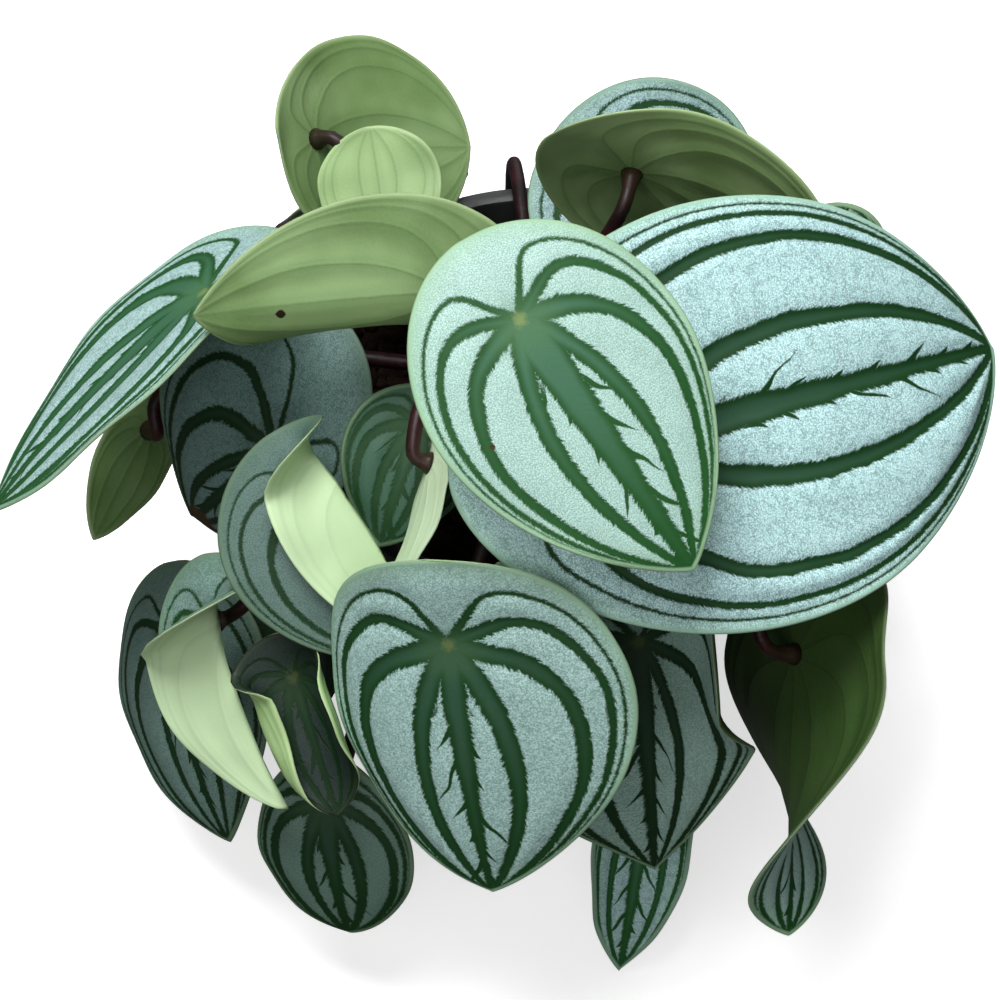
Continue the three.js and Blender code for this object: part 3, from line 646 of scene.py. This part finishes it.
def soil_height(x, y, z):
    """How far the soil's top rises over its level, nothing at the crown and at the wall."""
    r = math.hypot(x, y)
    hole = CROWN_RADIUS + CLEARANCE
    inside = hole + 1 < r < SOIL_EVEN * (wall_radius(SOIL_TOP) - POT_WALL)
    if z < SOIL_TOP - 0.01 or not inside:
        return 0
    waves = math.sin(0.21 * x + 1) * math.cos(0.17 * y) + 0.6 * math.sin(0.37 * (x + y))
    lumps = noise.fractal(Vector((x, y, 3)) * 0.35, 1, 2, 5)
    calmer = min(1, (SOIL_EVEN - r / wall_radius(SOIL_TOP)) * 6)
    return SOIL_LUMP * waves * calmer + SOIL_FINE_LUMP * lumps


def make_soil(material):
    """The filling of soil, with crumbs strewn over its top."""
    side = lambda z: wall_radius(z) - POT_WALL - CLEARANCE
    bottom = POT_FLOOR + CLEARANCE
    hole = CROWN_RADIUS + CLEARANCE
    edge = side(SOIL_TOP) - CLEARANCE
    profile = [[0, bottom], [side(bottom) - CLEARANCE, bottom]]
    profile += [[r, SOIL_TOP] for r in np.linspace(edge, hole, SOIL_RINGS)]
    profile += [[hole, SOIL_TOP - CROWN_DEPTH], [0, SOIL_TOP - CROWN_DEPTH]]
    points, faces = turned(profile, SOIL_SIDES, soil_height)
    form = bmesh.new()
    bmesh.ops.create_icosphere(form, subdivisions=2, radius=1)
    ball = np.array([v.co[:] for v in form.verts])
    ball_faces = [[v.index for v in f.verts] for f in form.faces]
    form.free()
    chance = random.Random(CRUMB_SEED)
    for _ in range(CRUMB_COUNT):
        radius = edge * math.sqrt(chance.uniform(0.04, 0.93))
        angle = chance.uniform(0, 2 * math.pi)
        x, y = radius * math.cos(angle), radius * math.sin(angle)
        size = chance.choice(CRUMB_SIZES)
        stretch = np.array([chance.uniform(0.7, 1.3), chance.uniform(0.6, 1.1), chance.uniform(0.5, 0.8)])
        turn = np.array(Matrix.Rotation(chance.uniform(0, 6.3), 3, (chance.random(), chance.random(), 1)))
        seed = Vector((chance.uniform(0, 90), 0, 0))
        lumps = np.array([1 + 0.35 * noise.noise(Vector(p) * 1.3 + seed) for p in ball])
        first = len(points)
        crumb = (ball * lumps[:, None] * stretch * size) @ turn.T
        ground = SOIL_TOP + soil_height(x, y, SOIL_TOP)
        points += [tuple(p) for p in crumb + (x, y, ground + 0.2 * size)]
        faces += [[first + v for v in face] for face in ball_faces]
    piece = make_object("soil_fill", points, faces, [material])
    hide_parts("soil")


# --- materials ---

def srgb(red, green, blue):
    """A colour from its 0 to 255 screen values."""
    linear = lambda v: v / 12.92 if v <= 0.04045 else ((v + 0.055) / 1.055) ** 2.4
    return (linear(red / 255), linear(green / 255), linear(blue / 255), 1)


class Field:
    """A shader socket that arithmetic can be written with."""

    def __init__(self, graph, socket):
        self.graph = graph
        self.socket = socket

    def __add__(self, other):
        return self.graph.math("ADD", self, other)

    __radd__ = __add__

    def __sub__(self, other):
        return self.graph.math("SUBTRACT", self, other)

    def __rsub__(self, other):
        return self.graph.math("SUBTRACT", other, self)

    def __mul__(self, other):
        return self.graph.math("MULTIPLY", self, other)

    __rmul__ = __mul__

    def __truediv__(self, other):
        return self.graph.math("DIVIDE", self, other)

    def __rtruediv__(self, other):
        return self.graph.math("DIVIDE", other, self)

    def __pow__(self, other):
        return self.graph.math("POWER", self, other)

    def __abs__(self):
        return self.graph.math("ABSOLUTE", self)


class Graph:
    """The node tree of one material."""

    def __init__(self, name, roughness, specular=0.5):
        self.material = bpy.data.materials.new(name)
        self.material.use_nodes = True
        self.tree = self.material.node_tree
        self.shader = self.tree.nodes["Principled BSDF"]
        self.shader.inputs["Roughness"].default_value = roughness
        self.shader.inputs["Specular IOR Level"].default_value = specular

    def link(self, value, socket):
        if isinstance(value, Field):
            self.tree.links.new(value.socket, socket)
        else:
            socket.default_value = value

    def node(self, kind, inputs, output=0, **settings):
        node = self.tree.nodes.new(kind)
        for name, value in settings.items():
            setattr(node, name, value)
        for key, value in inputs.items():
            self.link(value, node.inputs[key])
        return Field(self, node.outputs[output])

    def math(self, operation, *values):
        return self.node("ShaderNodeMath", dict(enumerate(values)), operation=operation)

    def least(self, a, b):
        return self.math("MINIMUM", a, b)

    def most(self, a, b):
        return self.math("MAXIMUM", a, b)

    def values(self, name):
        """The three numbers that the mesh keeps under this name."""
        vector = self.node("ShaderNodeAttribute", {}, 1, attribute_name=name)
        split = self.tree.nodes.new("ShaderNodeSeparateXYZ")
        self.link(vector, split.inputs[0])
        return [Field(self, output) for output in split.outputs]

    def value(self, name):
        return self.node("ShaderNodeAttribute", {}, 2, attribute_name=name)

    def vector(self, x, y, z):
        return self.node("ShaderNodeCombineXYZ", {0: x, 1: y, 2: z})

    def place(self):
        """The point of the surface, in millimetres."""
        spot = self.node("ShaderNodeTexCoord", {}, 3)
        return self.node("ShaderNodeVectorMath", {0: spot, 3: 1000.0}, operation="SCALE")

    def noise(self, vector, scale, detail=2.0, roughness=0.5):
        return self.node("ShaderNodeTexNoise", {"Vector": vector, "Scale": scale, "Detail": detail,
                                                "Roughness": roughness})

    def fade(self, value, start, end):
        """0 before start and 1 after end, with a smooth step between."""
        return self.node("ShaderNodeMapRange", {0: value, 1: start, 2: end, 3: 0.0, 4: 1.0},
                         interpolation_type="SMOOTHSTEP", clamp=True)

    def mix(self, factor, a, b):
        return self.node("ShaderNodeMix", {0: factor, 6: a, 7: b}, 2, data_type="RGBA")

    def scaled(self, colour, factor):
        """The colour times a number."""
        colour = colour if isinstance(colour, Field) else colour[:3]
        return self.node("ShaderNodeVectorMath", {0: colour, 3: factor}, operation="SCALE")

    def finish(self, colour, height=None, distance=0.1, roughness=None):
        self.link(colour, self.shader.inputs["Base Color"])
        if roughness is not None:
            self.link(roughness, self.shader.inputs["Roughness"])
        if height is not None:
            bump = self.node("ShaderNodeBump", {"Strength": 1.0, "Distance": distance * MM, "Height": height})
            self.link(bump, self.shader.inputs["Normal"])
        return self.material


def stripe_fields(g, place, rho, width, rib):
    """For the stripe that is nearest to a point: distance to its edge, signed distance to its
    middle, its half width, how much it turns from straight outwards and the share of its course
    that still runs outwards. Then the midrib's own two distances, and the point's distance and
    angle from the hub."""
    x, y, seed = place
    away = (x * x + y * y) ** 0.5
    wobble = g.noise(g.vector(x, y, seed), 0.06, 1.0)
    angle = g.math("ARCTAN2", abs(x), y) * (0.93 + 0.14 * wobble)
    uneven = 0.75 + 0.5 * g.noise(g.vector(x, y, seed), 0.13, 1.0)
    nearest = None
    for start, power, near, far, narrowing in STRIPES:
        start = math.radians(start)
        late = rho ** power if power > 1 else rho
        turned_in = late * (start * power)
        level = 1 / (1 + turned_in * turned_in) ** 0.5
        off = (angle - (start - late * start)) * away * level
        half = (near + rho ** narrowing * (far - near)) * width * uneven
        if start == 0:
            half = half * rib
        fields = [abs(off) - half, off, half, turned_in * level, level]
        if nearest is None:
            nearest = midrib = fields
            continue
        nearer = g.math("LESS_THAN", fields[0], nearest[0])
        nearest = [old + nearer * (new - old) for old, new in zip(nearest, fields)]
    return nearest, midrib[:2], away, angle


def upper_material():
    """Silver between dark stripes, with feathered edges, side veins and a pale margin."""
    g = Graph("leaf_upper", 0.4, 0.27)
    x, y, seed = g.values("leaf_place")
    rho, rim, width = g.values("leaf_margin")
    blue, bright, deep = g.values("leaf_tone_and_shade")
    silver, _, rib = g.values("leaf_kind_and_light")
    mark_x, mark_y, mark_r = g.values("leaf_mark")
    flat = g.vector(x, y, seed)
    stripe, (rib_edge, rib_off), away, angle = stripe_fields(g, (x, y, seed), rho, width, rib)
    edge, off, half, turned_in, level = stripe
    slow = g.noise(flat, 0.11, 1.0)

    # Fine side veins that leave the midrib towards the tip
    side = g.math("GREATER_THAN", x, 0.0)
    course = (y - 1.6 * abs(rib_off)) / 10.0 + 0.8 * slow + 0.45 * side
    own = g.noise(g.vector(g.math("FLOOR", course) * 3.7, 5.3 * side, seed), 1.0, 0.0)
    reach = 1.0 + 5.0 * g.fade(own, 0.4, 0.7)
    barb = abs(g.math("FRACT", course) - 0.5) * 5.3 - 0.55 * (1 - g.most(rib_edge, 0.0) / reach)
    barb = g.most(barb, 0.9 - rho * 3.0)

    # Feathered edges: spikes that leave the stripe towards the tip, and the grain of the silver
    ahead = 0.9 * abs(off)
    foot_away = away - off * turned_in - ahead * level
    foot_angle = angle - (off * level - ahead * turned_in) / g.most(away, 1.0)
    foot = g.vector(foot_away * g.math("SINE", foot_angle), foot_away * g.math("COSINE", foot_angle),
                    seed + 7 * side + 3 * g.math("SIGN", off))
    streak = g.noise(foot, 1.5, 2.0, 0.6)
    grain = g.noise(flat, 3.4, 2.0, 0.6)
    feather = edge + (streak - 0.5) * g.least(0.7 + 0.7 * half, 2.2) + 0.9 * (grain - 0.5)
    pale = g.least(g.fade(feather, -0.25, 0.45), g.fade(barb + 0.4 * (grain - 0.5), -0.05, 0.25))

    # Painted light on the silver: the grain picks between a shaded and a lit copy of it as painted glints,
    # thin noise lines darken it as painted shade in fine creases, and the leaf's "bright" scales it as
    # painted light and shade, with a more saturated green on the shaded leaves.
    crease_shade = 1 - g.fade(abs(g.noise(flat, 0.3, 4.0, 0.6) - 0.5), 0.0, 0.035)
    spark = g.fade(grain - 0.1 * crease_shade * blue, 0.36, 0.66)
    dim = g.mix(blue, srgb(138, 178, 158), srgb(126, 164, 168))
    lit = g.mix(blue, srgb(196, 228, 216), srgb(198, 226, 232))
    tone = g.mix(spark, dim, lit)
    near_rim = 1 - g.fade(rim, 0.5, 6.0)
    tone = g.mix(near_rim * (0.6 - 0.4 * blue), tone, srgb(146, 188, 150))
    tone = g.mix(1 - silver, tone, srgb(58, 108, 72))
    tone = g.mix(0.4 * (1 - g.fade(bright, 0.2, 1.0)), tone, srgb(84, 150, 122))
    tone = g.scaled(tone, bright * (0.9 + 0.2 * slow) * (1 - 0.25 * crease_shade * blue))

    # Stripes: dusty green near the hub and along the middle, deep green at the edges and outwards, darkened
    # by the leaf's "deep", partly as painted shade on the shaded leaves
    inside = g.fade(0 - edge, 0.2, 2.2) * (1 - g.fade(rho, 0.2, 0.85) * (1 - 0.8 * blue))
    dark = g.mix(inside, srgb(24, 84, 28), srgb(70, 118, 90))
    dark = g.mix(g.fade(streak, 0.3, 0.7) * 0.25, dark, srgb(46, 104, 50))
    dark = g.scaled(dark, 1 - 0.75 * deep)
    colour = g.mix(pale, dark, tone)

    # The green hub with its rays, and the pale spot over the stalk, both darkened by the leaf's "deep" as
    # painted shade
    hub = 1 - g.fade(away + 3 * g.fade(angle, 1.2, 2.4), 3.0, 11.0)
    rays = g.noise(g.vector(g.math("ARCTAN2", x, y) * 5, away * 0.05, seed), 1.0, 2.0)
    colour = g.mix(hub * 0.55 * (0.6 + 0.8 * rays), colour, g.scaled(srgb(84, 130, 84), 1 - 0.8 * deep))
    spot = g.noise(flat, 0.9, 2.0) - 0.5 + away / 2.4
    colour = g.mix((1 - g.fade(spot, 0.2, 0.9)) * 0.75, colour, g.scaled(srgb(140, 160, 96), 1 - 0.75 * deep))

    # The pale lip of the margin, brownish at its very edge, both scaled by the leaf's "bright" as painted
    # light and shade
    lip = 1 - g.fade(rim + 0.7 * (slow - 0.5), 0.7, 1.3)
    edging = g.mix(blue, srgb(156, 196, 148), srgb(140, 178, 164))
    colour = g.mix(lip * 0.8, colour, g.scaled(edging, bright))
    colour = g.mix((1 - g.fade(rim, 0.1, 0.4)) * 0.4, colour, g.scaled(srgb(120, 124, 98), bright))

    # The brown mark, where the leaf has one
    from_mark = ((x - mark_x) ** 2.0 + (y - mark_y) ** 2.0) ** 0.5 - mark_r
    worn = 1 - g.fade(from_mark + 0.6 * mark_r * (grain - 0.5), -0.1, 0.15)
    colour = g.mix(worn, colour, g.mix(streak, srgb(30, 20, 6), srgb(88, 66, 22)))

    height = grain * 0.5 + pale * 0.6 + rays * hub * 0.3
    rough = 0.36 + 0.14 * (1 - pale) + 0.12 * grain
    return g.finish(colour, height, 0.2, rough)


def under_material():
    """Matt pale green, with the stripes and veins only just showing; its brightness is painted light and
    shade, darker on shaded undersides and a painted glow of light through the blade on backlit ones.
    """
    g = Graph("leaf_under", 0.42, 0.3)
    x, y, seed = g.values("leaf_place")
    rho, rim, width = g.values("leaf_margin")
    _, under, rib = g.values("leaf_kind_and_light")
    mark_x, mark_y, mark_r = g.values("leaf_mark")
    flat = g.vector(x, y, seed)
    (edge, off, *_), _, away, _ = stripe_fields(g, (x, y, seed), rho, width, rib)
    middle = abs(off)
    slow = g.noise(flat, 0.05, 2.0)
    fine = g.noise(flat, 1.6, 3.0, 0.6)
    band = 1 - g.fade(edge, -1.0, 1.6)
    vein = (1 - g.fade(middle + 0.25 * fine, 0.2, 0.6)) * (1 - 0.5 * rho)
    colour = g.mix(g.fade(slow, 0.3, 0.7), srgb(128, 160, 98), srgb(166, 198, 136))
    # Painted shade: undersides with a low "under" turn a deeper green
    colour = g.mix(0.8 * (1 - g.fade(under, 0.1, 1.0)), colour, srgb(84, 144, 46))
    colour = g.mix(band * 0.2, colour, srgb(96, 138, 72))
    colour = g.mix(vein * 0.45, colour, srgb(74, 104, 50))
    colour = g.mix((1 - g.fade(away, 2.0, 11.0)) * 0.45, colour, srgb(88, 122, 62))
    colour = g.mix((1 - g.fade(rim, 0.2, 1.3)) * 0.6, colour, srgb(190, 216, 158))
    colour = g.mix((fine - 0.3) * 0.2, colour, srgb(196, 220, 168))
    # Painted light: above 1, "under" whitens the underside as a glow of light through the blade, and it
    # scales the whole colour as painted light and shade
    colour = g.mix(g.fade(under, 1.0, 1.7), colour, srgb(200, 222, 186))
    colour = g.scaled(colour, g.least(under, 1.2))
    from_mark = ((x - mark_x) ** 2.0 + (y - mark_y) ** 2.0) ** 0.5 - mark_r
    worn = 1 - g.fade(from_mark + 0.9 * (fine - 0.5), -0.1, 0.2)
    colour = g.mix(worn, colour, srgb(44, 26, 10))
    height = fine * 0.3 + (1 - g.fade(middle, 0.0, 1.1)) * 0.35
    return g.finish(colour, height, 0.2, 0.38 + 0.18 * fine)


def stalk_material():
    g = Graph("stalk", 0.42, 0.35)
    share = g.value("stalk_share")
    spot = g.place()
    blotch = g.noise(spot, 0.12, 3.0)
    fleck = g.noise(spot, 1.1, 3.0, 0.6)
    # Painted shade: the maroon is far darker than the stalks' own, so that they sink into the shade between
    # the leaves
    colour = g.mix(g.fade(blotch, 0.35, 0.65), srgb(26, 9, 13), srgb(52, 22, 25))
    colour = g.mix(g.fade(share, 0.82, 1.0) * 0.4, colour, srgb(64, 58, 34))
    colour = g.mix(g.fade(fleck, 0.55, 0.75) * 0.25, colour, srgb(92, 54, 50))
    return g.finish(colour, fleck, 0.12, 0.34 + 0.2 * fleck)


def pot_material():
    g = Graph("pot_plastic", 0.5, 0.6)
    spot = g.place()
    broad = g.noise(spot, 0.02, 3.0)
    fine = g.noise(spot, 2.2, 3.0, 0.6)
    dust = g.fade(g.noise(spot, 0.25, 4.0, 0.7), 0.52, 0.72)
    colour = g.mix(broad, srgb(42, 45, 45), srgb(58, 62, 61))
    colour = g.mix(dust * 0.22, colour, srgb(108, 98, 84))
    return g.finish(colour, fine + 0.4 * dust, 0.08, 0.36 + 0.16 * fine + 0.2 * dust)


def soil_material():
    g = Graph("potting_soil", 0.95, 0.2)
    spot = g.place()
    clods = g.noise(spot, 0.35, 4.0, 0.7)
    fine = g.noise(spot, 1.8, 4.0, 0.7)
    colour = g.mix(g.fade(clods, 0.3, 0.7), srgb(22, 15, 11), srgb(52, 37, 27))
    colour = g.mix(g.fade(fine, 0.6, 0.78) * 0.6, colour, srgb(96, 72, 50))
    return g.finish(colour, fine + clods, 0.6)


def stage_material(name, glow):
    g = Graph(name, 0.9, 0.1)
    g.shader.inputs["Emission Color"].default_value = (1, 1, 1, 1)
    g.shader.inputs["Emission Strength"].default_value = glow
    cloud = g.noise(g.place(), 0.01, 2.0)
    return g.finish(g.mix(cloud, srgb(240, 240, 239), srgb(246, 246, 246)))


# --- the plant ---

blade_materials = [upper_material(), under_material()]
for number, leaf in enumerate(LEAVES):
    make_blade(leaf, number, blade_materials)
make_crown(stalk_material())
make_pot(pot_material())
make_soil(soil_material())


# --- floor, light and camera ---

def add_stage(name, faces, glow):
    """Part of the pale room, whose light doesn't fall back on the plant."""
    corners = [(-1, -1), (1, -1), (1, 1), (-1, 1)]
    points = [(x * FLOOR_HALF, y * FLOOR_HALF, z) for z in (0, WALL_HEIGHT) for x, y in corners]
    mesh = bpy.data.meshes.new(name)
    mesh.from_pydata(points, [], faces)
    mesh.materials.append(stage_material(name, glow))
    stage = bpy.data.objects.new(name, mesh)
    bpy.context.collection.objects.link(stage)
    stage.visible_diffuse = False
    stage.visible_glossy = False


add_stage("floor", [(0, 1, 2, 3)], FLOOR_GLOW)
add_stage("backdrop", [(k, k + 4, (k + 1) % 4 + 4, (k + 1) % 4) for k in range(4)], WALL_GLOW)


def add_light(name, place, size, power):
    """A soft square lamp that looks at the plant."""
    light = bpy.data.lights.new(name, "AREA")
    light.size = size
    light.energy = power
    lamp = bpy.data.objects.new(name, light)
    lamp.location = place
    lamp.rotation_euler = (Vector(LIGHT_AIM) - Vector(place)).to_track_quat("-Z", "Y").to_euler()
    bpy.context.collection.objects.link(lamp)


for lamp_row in LIGHTS:
    add_light(*lamp_row)

world = bpy.data.worlds.new("studio")
world.use_nodes = True
sky = world.node_tree.nodes["Background"]
sky.inputs["Color"].default_value = (1, 1, 1, 1)
sky.inputs["Strength"].default_value = SKY_STRENGTH
bpy.context.scene.world = world
bpy.context.scene.view_settings.view_transform = "Standard"

camera_data = bpy.data.cameras.new("camera")
camera_data.sensor_width = CAMERA_SENSOR
camera_data.lens = CAMERA_LENS
camera_data.clip_start = 0.01
camera = bpy.data.objects.new("camera", camera_data)
camera.location = CAMERA_PLACE
camera.rotation_euler = (math.radians(CAMERA_TILT), 0, 0)
bpy.context.collection.objects.link(camera)
bpy.context.scene.camera = camera
